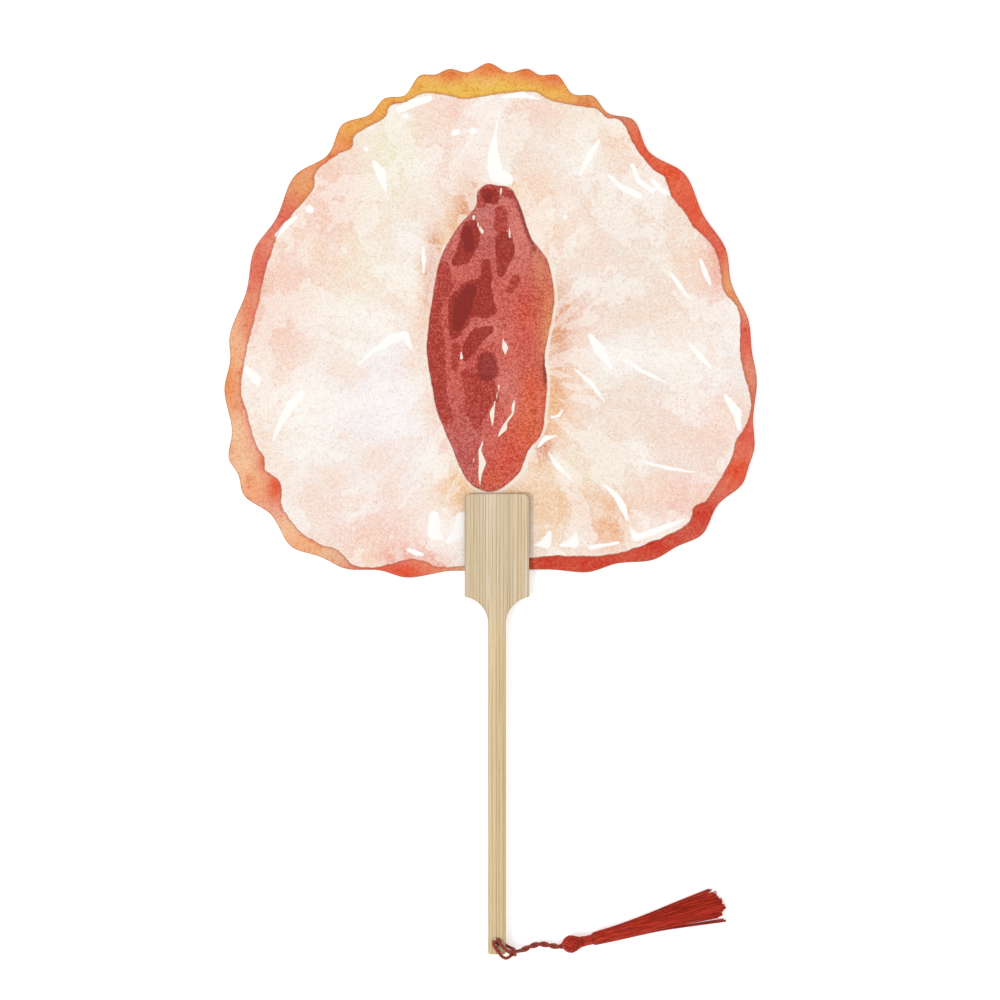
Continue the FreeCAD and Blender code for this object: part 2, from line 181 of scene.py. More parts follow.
# Washes, laid over each other in this order: (x, y, reach across, reach up, strength, colour)
flesh_washes = [
    (0, 100, 140, 140, 1.0, "cream"), (60, 60, 50, 70, 0.8, "shell"), (-50, 60, 35, 55, 0.7, "milk"),
    (-50, 187, 18, 9, 0.8, "cream"), (-15, 188, 20, 8, 0.8, "blush"), (40, 184, 16, 8, 0.7, "lemon"),
    (-42, 165, 9, 14, 0.9, "leaf"), (-57, 147, 9, 12, 0.7, "lemon"), (-24, 163, 9, 16, 0.7, "blush"),
    (-72, 160, 9, 12, 0.8, "rose"), (-88, 138, 8, 14, 0.8, "peach"), (-70, 135, 9, 10, 0.6, "peach"),
    (-58, 118, 11, 26, 0.8, "lemon"), (-40, 132, 9, 10, 0.6, "milk"), (-102, 111, 6, 8, 0.9, "salmon"),
    (-98, 92, 9, 16, 0.8, "rose"), (-86, 108, 9, 16, 0.7, "peach"), (-57, 98, 10, 7, 0.6, "white"),
    (-40, 108, 7, 9, 0.5, "peach"), (-88, 62, 10, 12, 0.7, "white"), (-104, 47, 6, 10, 0.7, "peach"),
    (-45, 55, 16, 24, 0.9, "lilac"), (-28, 70, 6, 24, 0.5, "cream"), (-75, 20, 18, 8, 0.6, "blush"),
    (-55, 18, 14, 8, 0.5, "blush"), (-50, 2, 18, 10, 0.9, "rose"), (-74, 2, 9, 6, 0.6, "blush"),
    (-27, -7, 10, 4, 0.9, "coral"), (-57, -5, 9, 4, 0.8, "peach"), (-22, 10, 8, 8, 0.8, "white"),
    (10, 170, 12, 14, 0.6, "shell"), (18, 155, 7, 10, 0.7, "peach"), (36, 160, 12, 14, 0.6, "milk"),
    (50, 172, 8, 8, 0.8, "peach"), (66, 163, 8, 8, 0.7, "blush"), (77, 160, 5, 7, 0.9, "rose"),
    (22, 137, 8, 12, 0.9, "peach"), (42, 140, 14, 10, 0.6, "sand"), (60, 118, 18, 14, 0.5, "shell"),
    (80, 120, 9, 12, 0.6, "peach"), (95, 108, 6, 14, 0.7, "blush"), (37, 112, 10, 12, 0.5, "milk"),
    (36, 96, 7, 8, 0.8, "rose"), (55, 98, 18, 8, 0.6, "sand"), (52, 84, 12, 7, 0.7, "milk"),
    (82, 84, 12, 10, 0.7, "white"), (94, 72, 8, 12, 0.8, "milk"), (34, 72, 6, 12, 0.7, "peach"),
    (80, 58, 14, 6, 0.6, "blush"), (95, 50, 10, 10, 0.8, "rose"), (30, 52, 7, 12, 0.8, "peach"),
    (50, 46, 14, 7, 0.7, "sand"), (36, 30, 14, 10, 0.6, "lemon"), (75, 42, 12, 8, 0.6, "blush"),
    (84, 22, 9, 7, 0.8, "rose"), (66, 20, 9, 5, 0.6, "peach"), (38, 16, 12, 7, 0.7, "peach"),
    (52, 4, 8, 5, 0.7, "rose"), (62, 8, 6, 4, 0.6, "white"), (-12, 144, 3.4, 6, 0.95, "apricot"),
    (-18, 137, 3.4, 5, 0.9, "apricot"), (-24, 129, 2.6, 4, 0.8, "amber"),
    (-27.5, 118, 3.4, 7, 0.85, "apricot"), (-31, 106, 3.2, 9, 0.8, "amber"),
    (-33, 92, 3, 8, 0.6, "peach"), (10.5, 152, 3, 4, 0.9, "amber"), (15, 146, 4, 6, 0.7, "peach"),
    (27, 104, 3.5, 6, 0.5, "amber"), (25.5, 93, 2.8, 9, 0.95, "apricot"), (28, 100, 5, 9, 0.5, "rust"),
    (25, 75, 3.4, 7, 0.7, "peach"), (25, 65, 3.2, 8, 0.9, "apricot"), (23, 52, 3.5, 5, 0.8, "amber"),
    (18, 36, 5, 4, 0.6, "amber"), (-17, 26, 7, 7, 0.9, "amber"), (-12, 18, 5, 5, 0.7, "amber"),
    (7, 22, 7, 3, 0.9, "amber"), (-26.8, 124, 2.0, 8, 0.8, "rust"), (-13.5, 146, 2.2, 4, 0.8, "rust"),
    (20.5, 43, 2.5, 5, 0.8, "rust"), (93, 22, 5, 6, 0.7, "rose"), (50, 7, 7, 4, 0.7, "rose"),
    (-22.5, 43, 2.4, 8, 0.7, "rose"), (22, 22, 8, 8, 0.6, "amber"), (20, 8, 7, 8, 0.5, "amber"),
    (52, 9, 6, 6, 0.8, "apricot"), (24, 61, 3.5, 9, 0.5, "apricot"), (-12, 187, 8, 6, 0.7, "rose"),
    (18, 187, 8, 6, 0.6, "rose"), (-12, 161, 5, 8, 0.7, "rose"), (-14, 150, 4, 5, 0.7, "apricot"),
    (-72, 142, 8, 13, 0.8, "rose"), (18, 148, 5, 7, 0.6, "peach"), (34, 135, 8, 8, 0.6, "peach"),
    (-88, 118, 7, 9, 0.6, "rose"), (95, 122, 5, 9, 0.9, "coral"), (-101, 97, 5, 8, 0.7, "rose"),
    (-87, 90, 8, 12, 0.5, "rose"), (-27.5, 121, 2.0, 6, 0.95, "rust"), (-29.5, 108, 2.0, 9, 0.8, "rust"),
    (-27, 59, 2, 6, 0.7, "rose"), (19.5, 44.5, 2.4, 5, 0.9, "rust"), (34, 19, 7, 5, 0.6, "apricot"),
    (49, 10, 5, 7, 0.7, "apricot"), (80, 18, 9, 6, 0.9, "rose"), (-42, -5, 7, 3, 0.8, "coral"),
    (-12, 150, 3, 5, 0.7, "rust"), (27, 88, 3, 12, 0.6, "rust"),
]
rind_washes = [
    (0, 100, 200, 200, 1.0, "salmon"), (-45, 190, 30, 12, 1.0, "gold"), (10, 195, 32, 9, 1.0, "butter"),
    (-4, 206, 26, 4, 0.9, "orange"), (28, 200, 10, 4, 0.8, "orange"), (-20, 196, 16, 3, 0.7, "butter"),
    (0, 195.5, 28, 2, 0.5, "maize"), (-20, 202, 4, 2.5, 0.7, "tawny"), (-2.5, 205, 4, 2.5, 0.6, "tawny"),
    (13.5, 203, 4, 2.5, 0.7, "tawny"), (24.5, 200.5, 4, 3, 0.8, "tawny"), (42, 190, 9, 5, 0.9, "gold"),
    (39, 191, 4, 3, 0.6, "clay"), (54, 184, 7, 7, 0.9, "clay"), (64, 171, 8, 8, 0.9, "flame"),
    (75, 160, 8, 9, 0.95, "flame"), (86, 142, 9, 12, 0.9, "flame"), (95, 127, 7, 8, 0.9, "rosy"),
    (102, 109, 6, 8, 0.8, "apricot"), (108, 88, 6, 9, 0.9, "rosy"), (110, 68, 6, 8, 0.85, "clay"),
    (109, 48, 6, 9, 0.9, "rosy"), (103, 31, 8, 8, 0.95, "flame"), (90, 13, 12, 9, 1.0, "brick"),
    (70, 0, 16, 9, 1.0, "brick"), (44, -8, 18, 7, 1.0, "brick"), (20, -8, 16, 8, 1.0, "brick"),
    (-62, 178, 9, 7, 0.8, "gold"), (-72, 166, 7, 6, 0.8, "orange"), (-82, 153, 8, 8, 0.95, "apricot"),
    (-92, 138, 8, 9, 0.9, "rosy"), (-100, 122, 7, 10, 0.95, "rosy"), (-108, 98, 5, 12, 0.9, "salmon"),
    (-96, 130, 6, 7, 0.7, "coral"), (-114, 92, 3.5, 12, 0.7, "straw"), (-112, 80, 4, 7, 0.8, "straw"),
    (-116, 66, 4, 12, 0.9, "orange"), (-113, 48, 5, 8, 0.9, "straw"), (-108, 33, 6, 7, 0.9, "straw"),
    (-103, 24, 6, 5, 0.9, "melon"), (-95, 25, 3, 5, 0.9, "flame"), (-100.5, 35.5, 2, 3, 0.7, "flame"),
    (-90, 5, 9, 6, 0.9, "straw"), (-80, -1, 8, 5, 0.9, "melon"), (-70, -6, 7, 5, 0.8, "tan"),
    (-54, -11, 9, 4, 0.9, "rosy"), (-38, -12, 9, 4, 1.0, "flame"), (-27, -10, 5, 4, 0.8, "salmon"),
    (-16.5, -10, 3.5, 4, 0.95, "tan"),
]
stone_washes = [
    (0, 90, 100, 100, 1.0, "dusky"), (9, 130, 4.5, 14, 1.0, "petal"), (1, 107, 5, 7, 0.7, "pink"),
    (-15, 117, 6, 4, 0.7, "pink"), (-22, 98, 2.2, 9, 0.4, "pink"), (-2, 92, 9, 4, 1.0, "petal"),
    (5, 80, 5, 13, 0.9, "pink"), (-18, 70, 3.2, 14, 0.75, "pink"), (17, 84, 4, 12, 0.6, "pink"),
    (12, 98, 4, 9, 0.6, "flame"), (22, 95, 2.4, 14, 0.9, "apricot"), (19, 110, 3, 10, 0.6, "ember"),
    (14, 60, 6, 12, 1.0, "tawny"), (12, 48, 7, 9, 0.95, "tawny"), (4, 36, 7, 9, 0.95, "scarlet"),
    (-3, 28, 5, 5, 0.9, "ember"), (-12, 36, 5, 9, 0.5, "crimson"), (-19, 50, 3, 8, 0.3, "crimson"),
    (-2, 46, 3, 5, 0.6, "pink"), (-17, 129, 2.4, 6, 0.5, "pink"), (3, 145, 4, 4, 0.6, "pink"),
    (18.5, 121, 2.4, 8, 0.8, "rust"), (5, 66, 4, 7, 0.9, "petal"), (-20, 95, 3, 7, 0.5, "crimson"),
    (15, 68, 3, 4, 0.5, "flame"),
]

# The values that a sheet's points keep, and the strokes and washes that each comes from
painted_strokes = {
    "in_gleam": gleams, "in_blot": blots, "in_core": cores, "in_lobe": lobes, "in_glint": glints,
}
painted_washes = {"flesh_wash": flesh_washes, "rind_wash": rind_washes, "stone_wash": stone_washes}

# The cord's routes, in metres: up the stem, and the hitch round the butt
stem_route = [
    (0.0104, -0.1738, 0.0042), (0.0129, -0.1728, 0.0038), (0.0162, -0.1715, 0.0026),
    (0.0198, -0.1712, 0.0020), (0.0232, -0.1719, 0.0026), (0.0266, -0.1722, 0.0037),
]
hitch_route = [
    (0.0089, -0.1740, 0.00485), (0.0070, -0.1741, 0.0055), (0.0054, -0.1740, 0.0061),
    (0.0036, -0.1731, 0.0061), (0.0018, -0.1712, 0.0060), (0.0006, -0.1692, 0.0061),
    (0.0001, -0.1689, 0.0052), (0.0003, -0.1695, 0.00105), (0.0024, -0.1709, 0.00105),
    (0.0046, -0.1724, 0.0011), (0.0064, -0.1731, 0.0018), (0.0073, -0.1732, 0.0034),
    (0.0075, -0.1733, 0.0064), (0.0078, -0.1753, 0.0064), (0.0078, -0.1758, 0.0030),
    (0.0062, -0.1756, 0.0012), (0.0030, -0.1735, 0.00105), (-0.00045, -0.1708, 0.00105),
    (-0.0006, -0.1703, 0.0052), (-0.0011, -0.1693, 0.0062), (-0.0017, -0.1710, 0.0060),
    (0.0002, -0.1736, 0.0060), (0.0024, -0.1766, 0.0061), (0.0046, -0.1770, 0.0059),
    (0.0068, -0.1752, 0.0040), (0.0089, -0.1739, 0.00355),
]

# Shares of the strand's thickness: a ply's radius, how far a ply lies from its strand's middle, and
# how far a strand lies from the pair's middle
ply_share = 0.31
ply_offset = 0.27
pair_offset = 0.47
# The pair's last turn, along the tassel's axis from just before the stem's eye
last_turn_start = -0.0006
last_turn_end = 0.0052

# Tassel, in metres along its axis from the stem's eye: (distance, radius) of its head, the core's
# share of that radius, the radius of the floss round it and how far the floss rises at a crossing
head_profile = [
    (0.0016, 0.0006), (0.0021, 0.0016), (0.0034, 0.0029), (0.00525, 0.0035), (0.0071, 0.0030),
    (0.0086, 0.0022), (0.0101, 0.0018),
]
core_share = 0.93
floss_radius = 0.00034
floss_lift = 0.00016
# The thread wound round the neck: its two ends along the axis, its own radius, how far apart its
# turns lie as a multiple of that radius, the radius that it is wound to, and the points in a turn
binding_start = 0.01005
binding_end = 0.01505
winding_thread = 0.00030
winding_spacing = 1.8
winding_radius = 0.00193
winding_points = 18
# Dark turns at the neck's two ends as painted shade in the creases, and their creep along the axis per radian
crease_shade_turns = [binding_start + 0.0003, binding_end - 0.0002]
crease_shade_radius = 0.0021
crease_shade_creep = 0.00004
# Skirt: distance past the binding, sideways lean, half width, half height, height of its middle
skirt_sections = [
    (-0.0014, 0.0, 0.0012, 0.0012, 0.0037), (0.0002, 0.0, 0.0024, 0.0022, 0.0037),
    (0.0010, 0.0001, 0.0027, 0.0022, 0.0035), (0.012, 0.0003, 0.0030, 0.0017, 0.0025),
    (0.028, 0.0016, 0.0037, 0.0015, 0.0020), (0.039, 0.0024, 0.0047, 0.0012, 0.0017),
    (0.056, 0.0035, 0.0058, 0.0010, 0.0014),
]
# The lowest that a loose thread's middle lies
lowest_thread = 0.00032
# The skirt's locks, from its lower side to its upper one: sideways sway in metres, and reach
locks = [
    (-0.0003, 1.0), (0.0002, 1.03), (-0.0004, 1.035), (0.0003, 1.02), (-0.0003, 1.0), (0.0001, 0.99),
    (0.0003, 0.955),
]
# How far a thread differs from its lock: sideways, up or down, and in reach
thread_sway = 0.0003
thread_rise = (-0.0004, 0.0006)
thread_reach = (-0.03, 0.012)
# Stray locks at the skirt's two sides: place across and up in the bundle, reach, and sway in metres
stray_locks = [
    (1.0, 0.4, 0.95, (0.0007, 0.0004)), (0.98, 0.1, 0.97, (0.0003, 0.0002)),
    (-1.0, -0.2, 1.025, (-0.0024, 0.0)), (-1.0, -0.5, 1.025, (-0.0029, 0.0)),
    (-0.97, -0.3, 1.01, (-0.0019, 0.0)),
]


def linear(code):
    """A colour written in six hexadecimal digits, as the linear values that shaders take."""
    parts = [int(code[i:i + 2], 16) / 255 for i in (0, 2, 4)]
    return [p / 12.92 if p <= 0.04045 else ((p + 0.055) / 1.055) ** 2.4 for p in parts]


def settings():
    return bpy.context.scene


class Wire:
    """A node's output that sums can be written with."""

    def __init__(self, paint, socket):
        self.paint = paint
        self.socket = socket

    def maths(self, operation, first, second=0.0):
        return self.paint.node("ShaderNodeMath", {"operation": operation}, {0: first, 1: second})

    def __add__(self, other):
        return self.maths("ADD", self, other)

    def __radd__(self, other):
        return self.maths("ADD", other, self)

    def __sub__(self, other):
        return self.maths("SUBTRACT", self, other)

    def __rsub__(self, other):
        return self.maths("SUBTRACT", other, self)

    def __mul__(self, other):
        return self.maths("MULTIPLY", self, other)

    def __rmul__(self, other):
        return self.maths("MULTIPLY", other, self)

    def most(self, other):
        return self.maths("MAXIMUM", self, other)

    def size(self):
        return self.maths("ABSOLUTE", self)

    def rise(self, low, high):
        """0 at low and below, 1 at high and above, smooth between; falls where high is the lower."""
        limits = {"Value": self, "From Min": low, "From Max": high}
        return self.paint.node("ShaderNodeMapRange", {"interpolation_type": "SMOOTHSTEP"}, limits)


class Paint:
    """One finish: a material, and the calls that lay its nodes."""

    def __init__(self, name):
        self.material = bpy.data.materials.new(name)
        self.material.use_nodes = True
        self.tree = self.material.node_tree
        self.shader = self.tree.nodes["Principled BSDF"]

    def feed(self, socket, value):
        if isinstance(value, Wire):
            self.tree.links.new(value.socket, socket)
        else:
            socket.default_value = value

    def node(self, kind, choices, sockets, output=0):
        """A node of that kind, with its settings chosen before its sockets are fed."""
        made = self.tree.nodes.new(kind)
        for choice, value in choices.items():
            setattr(made, choice, value)
        for socket, value in sockets.items():
            self.feed(made.inputs[socket], value)
        return Wire(self, made.outputs[output])

    def place(self):
        """Where a point is on the object, in millimetres."""
        at = self.node("ShaderNodeTexCoord", {}, {}, "Object")
        return self.node("ShaderNodeVectorMath", {"operation": "SCALE"}, {0: at, "Scale": 1 / mm})

    def part(self, place, axis):
        """A place's or a direction's X, Y or Z."""
        return self.node("ShaderNodeSeparateXYZ", {}, {0: place}, axis)

    def facing(self):
        """How far a face's outward direction points up or down, from 0 to 1."""
        return self.part(self.node("ShaderNodeTexCoord", {}, {}, "Normal"), "Z").size()

    def stretched(self, place, across, along, up):
        factors = {0: place, 1: (across, along, up)}
        return self.node("ShaderNodeVectorMath", {"operation": "MULTIPLY"}, factors)

    def fanned(self, place, middle, round_it, outward):
        """A place by its direction from a middle, times round_it, and its distance, times outward."""
        arm = self.node("ShaderNodeVectorMath", {"operation": "SUBTRACT"}, {0: place, 1: middle})
        direction = self.node("ShaderNodeVectorMath", {"operation": "NORMALIZE"}, {0: arm})
        far = self.node("ShaderNodeVectorMath", {"operation": "LENGTH"}, {0: arm}, "Value")
        shift = self.node("ShaderNodeCombineXYZ", {}, {"Z": far * outward})
        choices = {"operation": "MULTIPLY_ADD"}
        return self.node("ShaderNodeVectorMath", choices, {0: direction, 1: (round_it,) * 3, 2: shift})

    def turned(self, place, angle):
        return self.node("ShaderNodeMapping", {}, {"Vector": place, "Rotation": (0, 0, angle)})

    def noise(self, place, scale, detail=2.0, roughness=0.5):
        values = {"Vector": place, "Scale": scale, "Detail": detail, "Roughness": roughness}
        return self.node("ShaderNodeTexNoise", {}, values)

    def cells(self, place, scale):
        """How far a point is from the middle of the nearest of many scattered cells."""
        return self.node("ShaderNodeTexVoronoi", {}, {"Vector": place, "Scale": scale}, "Distance")

    def stored(self, name, output="Fac"):
        return self.node("ShaderNodeAttribute", {"attribute_name": name}, {}, output)

    def mix(self, share, under, over, way="MIX"):
        choices = {"data_type": "RGBA", "blend_type": way}
        return self.node("ShaderNodeMix", choices, {0: share, 6: under, 7: over}, 2)

    def bump(self, height, distance, strength=1.0):
        values = {"Height": height, "Distance": distance, "Strength": strength}
        return self.node("ShaderNodeBump", {}, values, "Normal")

    def finish(self, **sockets):
        """Feeds the shader's sockets, their names written with underscores, and gives the material."""
        for name, value in sockets.items():
            self.feed(self.shader.inputs[name.replace("_", " ")], value)
        return self.material


def solid(colour):
    """Four values from a colour property or from a name in colour_of."""
    if isinstance(colour, str):
        return (*linear(colour_of[colour]), 1.0)
    return (*colour, 1.0)


# Watercolour

def smooth_loop(points, steps=5):
    """A closed smooth curve through the points, as points close together."""
    loop = np.array(points, float)
    before, after, beyond = np.roll(loop, 1, 0), np.roll(loop, -1, 0), np.roll(loop, -2, 0)
    rows = []
    for t in np.arange(steps) / steps:
        rows.append(0.5 * (2 * loop + (after - before) * t
                           + (2 * before - 5 * loop + 4 * after - beyond) * t * t
                           + (3 * loop - before - 3 * after + beyond) * t ** 3))
    return np.stack(rows, 1).reshape(-1, 2)


def stroke_depth(places, strokes):
    """How deep each place lies in the strokes, in millimetres, and below 0 how far from them."""
    depth = np.full(len(places), -50.0)
    for stroke in strokes:
        for start, end in zip(stroke, stroke[1:]):
            start, end = np.array(start, float), np.array(end, float)
            run = end[:2] - start[:2]
            along = np.clip((places - start[:2]) @ run / max(run @ run, 1e-9), 0, 1)
            nearest = start[:2] + along[:, None] * run
            half_width = start[2] + along * (end[2] - start[2])
            depth = np.maximum(depth, half_width - np.linalg.norm(places - nearest, axis=1))
    return depth


def loop_depth(places, loop):
    """How deep each place lies inside a closed loop, in millimetres, and below 0 how far outside."""
    closed = np.vstack([loop, loop[:1]])
    line = [[(*a, 0.0), (*b, 0.0)] for a, b in zip(closed, closed[1:])]
    distance = -stroke_depth(places, line)
    inside = np.zeros(len(places), bool)
    x, y = places[:, 0], places[:, 1]
    for (ax, ay), (bx, by) in zip(closed, closed[1:]):
        if ay != by:
            crosses = (ay > y) != (by > y)
            inside ^= crosses & (x < (bx - ax) * (y - ay) / (by - ay) + ax)
    return np.where(inside, distance, -distance)


def washed(places, washes):
    """The colour of each place after the washes, laid over each other in their order."""
    colour = np.ones((len(places), 3))
    for x, y, across, up, strength, name in washes:
        far = ((places[:, 0] - x) / across) ** 2 + ((places[:, 1] - y) / up) ** 2
        share = (strength * np.exp(-0.5 * far))[:, None]
        colour = colour * (1 - share) + np.array(linear(colour_of[name])) * share
    return colour


def sheet_on_grid(node, cell, painted_up):
    """A printed sheet from its CAD solid's outline: a fine grid on its painted side, and its edge.

    Gives the mesh, and the outline in millimetres."""
    sheet = bmesh.new()
    sheet.from_mesh(frame["nodes"][node].data)
    bmesh.ops.remove_doubles(sheet, verts=sheet.verts, dist=1e-6)
    low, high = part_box(node)
    painted_z = high[2] if painted_up else low[2]
    plain_z = low[2] if painted_up else high[2]
    others = [f for f in sheet.faces if any(abs(v.co.z - painted_z) > 1e-5 for v in f.verts)]
    bmesh.ops.delete(sheet, geom=others, context="FACES")
    whole = bmesh.ops.dissolve_faces(sheet, faces=sheet.faces[:])["region"][0]
    outline = np.array([v.co[:2] for v in whole.verts]) / mm
    for axis in (0, 1):
        facing = Vector((1, 0, 0)) if axis == 0 else Vector((0, 1, 0))
        ahead = sheet.faces[:]
        cut_at = low[axis] + cell
        while cut_at < high[axis] and ahead:
            edges = {e for f in ahead for e in f.edges}
            corners = {v for f in ahead for v in f.verts}
            cut = bmesh.ops.bisect_plane(
                sheet, geom=[*corners, *edges, *ahead], dist=1e-7, plane_co=facing * cut_at, plane_no=facing)
            faces = [g for g in cut["geom"] if isinstance(g, bmesh.types.BMFace)]
            ahead = [f for f in faces if f.calc_center_median()[axis] > cut_at]
            cut_at += cell
    rim = [e for e in sheet.edges if e.is_boundary]
    walls = bmesh.ops.extrude_edge_only(sheet, edges=rim)["geom"]
    moved = [g for g in walls if isinstance(g, bmesh.types.BMVert)]
    bmesh.ops.translate(sheet, verts=moved, vec=(0, 0, plain_z - painted_z))
    foot = [g for g in walls if isinstance(g, bmesh.types.BMEdge)]
    bmesh.ops.edgeloop_fill(sheet, edges=foot)
    bmesh.ops.recalc_face_normals(sheet, faces=sheet.faces[:])
    for face in sheet.faces:
        face.material_index = 0 if all(abs(v.co.z - painted_z) < 1e-6 for v in face.verts) else 1
    bmesh.ops.triangulate(sheet, faces=sheet.faces[:])
    return sheet, outline


def finished_piece(name, mesh, *materials):
    """A new object from a bmesh, or from a mesh, with its materials."""
    if isinstance(mesh, bmesh.types.BMesh):
        data = bpy.data.meshes.new(name)
        mesh.to_mesh(data)
        mesh.free()
    else:
        data = mesh
        data.name = name
    data.materials.clear()
    for material in materials:
        data.materials.append(material)
    piece = bpy.data.objects.new(name, data)
    bpy.context.scene.collection.objects.link(piece)
    return piece


def finish_node(node, material):
    """Gives its material to a CAD solid that is shown as it is."""
    data = frame["nodes"][node].data
    data.materials.clear()
    data.materials.append(material)


def store(piece, name, values):
    """Keeps a number or a colour at each of the piece's points."""
    values = np.asarray(values, np.float32)
    if values.ndim == 1:
        piece.data.attributes.new(name, "FLOAT", "POINT").data.foreach_set("value", values)
    else:
        opaque = np.hstack([values, np.ones((len(values), 1), np.float32)])
        kept = piece.data.attributes.new(name, "FLOAT_COLOR", "POINT")
        kept.data.foreach_set("color", opaque.ravel())


def printed_sheet(name, node, painted_up):
    cell = settings().fan_print.cell
    sheet, outline = sheet_on_grid(node, cell, painted_up)
    piece = finished_piece(name, sheet, watercolour(name + "_paint"), paper_edge(name + "_edge"))
    corners = np.zeros(len(piece.data.vertices) * 3)
    piece.data.vertices.foreach_get("co", corners)
    places = corners.reshape(-1, 3)[:, :2] / mm
    store(piece, "from_edge", loop_depth(places, outline))
    store(piece, "from_rind", loop_depth(places, smooth_loop(rind_line)))
    store(piece, "in_stone", loop_depth(places, smooth_loop(stone_line)))
    for value, strokes in painted_strokes.items():
        store(piece, value, stroke_depth(places, strokes))
    for value, washes in painted_washes.items():
        store(piece, value, washed(places, washes))
    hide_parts(node)
    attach(piece, "fan")
    return piece


def watercolour(name):
    """The halved fruit, painted on rough paper: pale flesh, a red stone, a rind from gold to red."""
    props = settings().fan_print
    paint = Paint(name)
    place = paint.place()
    tooth = paint.noise(place, 1.1, 3.0, 0.6)
    fine = paint.noise(place, 2.6, 2.0, 0.6)
    cloud = paint.noise(place, 0.045, 4.0, 0.55)
    ragged = paint.noise(place, 0.3, 3.0, 0.55) - 0.5
    speckle = (tooth - 0.5) * 1.3 + (fine - 0.5) * 1.3

    flesh = flesh_paint(paint, place, speckle, cloud)
    rind = rind_paint(paint, place, speckle)
    stone = stone_paint(paint, place, speckle)

    depth = paint.stored("from_rind") + ragged * 1.4
    pooled = depth.rise(-1.6, -0.2) * 0.3
    rind = paint.mix(pooled, rind, solid("ember"), "MULTIPLY")
    sheet = paint.mix(depth.rise(-0.25, 0.35), rind, flesh)

    shine = (paint.stored("in_gleam") + ragged * 0.9).rise(-0.3, 0.2)
    sheet = paint.mix(shine, sheet, solid(props.paper))

    inside = paint.stored("in_stone") + ragged * 0.8
    across = paint.part(place, "X")
    along = paint.part(place, "Y")
    right_foot = (across - along * 0.3).rise(-24.0, -10.0)
    rim = (1 - (inside + 0.9).size().rise(0.0, 0.9)) * (0.2 + right_foot * 0.6)
    sheet = paint.mix(rim, sheet, solid("cream"))
    sheet = paint.mix(inside.rise(-0.25, 0.25), sheet, stone)

    from_edge = paint.stored("from_edge")
    outer = 1 - (from_edge - 0.25).size().rise(0.05, 0.35)
    inner = 1 - (depth + 0.1).size().rise(0.05, 0.4)
    sheet = paint.mix(outer.most(inner) * (0.22 + tooth * 0.5), sheet, solid(props.pencil))
    relief = tooth + fine * 0.5
    return paint.finish(
        Base_Color=sheet, Roughness=0.85, Specular_IOR_Level=0.12, Normal=paint.bump(relief, 0.00006, 0.5))


def flesh_paint(paint, place, speckle, cloud):
    """Pale wet washes with veins that fan out from the stone, brown flecks and paper grain."""
    flesh = paint.stored("flesh_wash", "Color")
    flesh = paint.mix(cloud.rise(0.45, 0.75) * 0.45, flesh, solid("peach"))
    flesh = paint.mix(cloud.rise(0.5, 0.3) * 0.5, flesh, solid("white"))
    veins = paint.noise(paint.fanned(place, vein_middle, 4.5, 0.045), 1.0, 5.0, 0.55)
    flesh = paint.mix(veins.rise(0.53, 0.555) * 0.4, flesh, solid("white"))
    flesh = paint.mix(veins.rise(0.45, 0.425) * 0.32, flesh, solid("peach"))
    flesh = paint.mix((1 - (veins - 0.53).size().rise(0.0, 0.01)) * 0.16, flesh, solid("apricot"))
    flesh = paint.mix(speckle.rise(0.0, 0.3) * 0.55, flesh, solid("peach"), "MULTIPLY")
    flesh = paint.mix(speckle.rise(0.0, -0.3) * 0.5, flesh, solid("white"))
    flecks = paint.cells(place, 0.55)
    sparse = paint.noise(place, 0.3, 1.0)
    flecked = flecks.rise(0.22, 0.1) * sparse.rise(0.54, 0.62) * 0.62
    return paint.mix(flecked, flesh, solid(settings().fan_print.fleck))


def rind_paint(paint, place, speckle):
    rind = paint.stored("rind_wash", "Color")
    dabs = paint.noise(place, 0.16, 4.0, 0.6)
    rind = paint.mix(dabs.rise(0.54, 0.72) * 0.15, rind, solid("straw"))
    rind = paint.mix(dabs.rise(0.46, 0.30) * 0.45, rind, solid("orange"), "MULTIPLY")
    dashes = paint.noise(paint.stretched(place, 0.5, 1.3, 1.0), 1.0, 2.0)
    rind = paint.mix(dashes.rise(0.6, 0.68) * 0.35, rind, solid("apricot"), "MULTIPLY")
    rind = paint.mix(speckle.rise(0.0, 0.3) * 0.55, rind, solid("salmon"), "MULTIPLY")
    return paint.mix(speckle.rise(0.0, -0.4) * 0.18, rind, solid("straw"))


def stone_paint(paint, place, speckle):
    """Crimson with pink granulation, dark blots with crisp edges, cream glints and a dark outline."""
    props = settings().fan_print
    stone = paint.stored("stone_wash", "Color")
    ragged = paint.noise(place, 0.5, 3.0, 0.6) - 0.5
    veins = paint.noise(paint.stretched(place, 0.22, 0.10, 1.0), 1.0, 4.0, 0.6)
    stone = paint.mix(veins.rise(0.50, 0.56) * 0.18, stone, solid("crimson"))
    lobe = (paint.stored("in_lobe") + ragged * 1.6).rise(-0.7, -0.3) * 0.85
    stone = paint.mix(lobe, stone, solid("wine"))
    blot = (paint.stored("in_blot") + ragged * 1.6).rise(-0.9, -0.5) * 0.94
    stone = paint.mix(blot, stone, solid(props.blot))
    core = (paint.stored("in_core") + ragged * 1.6).rise(-0.7, 0.6) * 0.75
    stone = paint.mix(core, stone, solid(props.core))
    pale = (1 - blot * 0.65) * (1 - core) * (1 - lobe * 0.45)
    stone = paint.mix(speckle.rise(-0.02, 0.2) * 0.62 * pale, stone, solid(props.granulation))
    stone = paint.mix(speckle.rise(0.02, -0.2) * 0.62, stone, solid(props.blot))
    glint = (paint.stored("in_glint") + ragged * 0.3).rise(-0.15, 0.15)
    stone = paint.mix(glint, stone, solid("cream"))
    outline = paint.stored("in_stone").rise(0.9, 0.1) * (0.3 + ragged * 2.5).most(0.12)
    return paint.mix(outline, stone, solid(props.core))


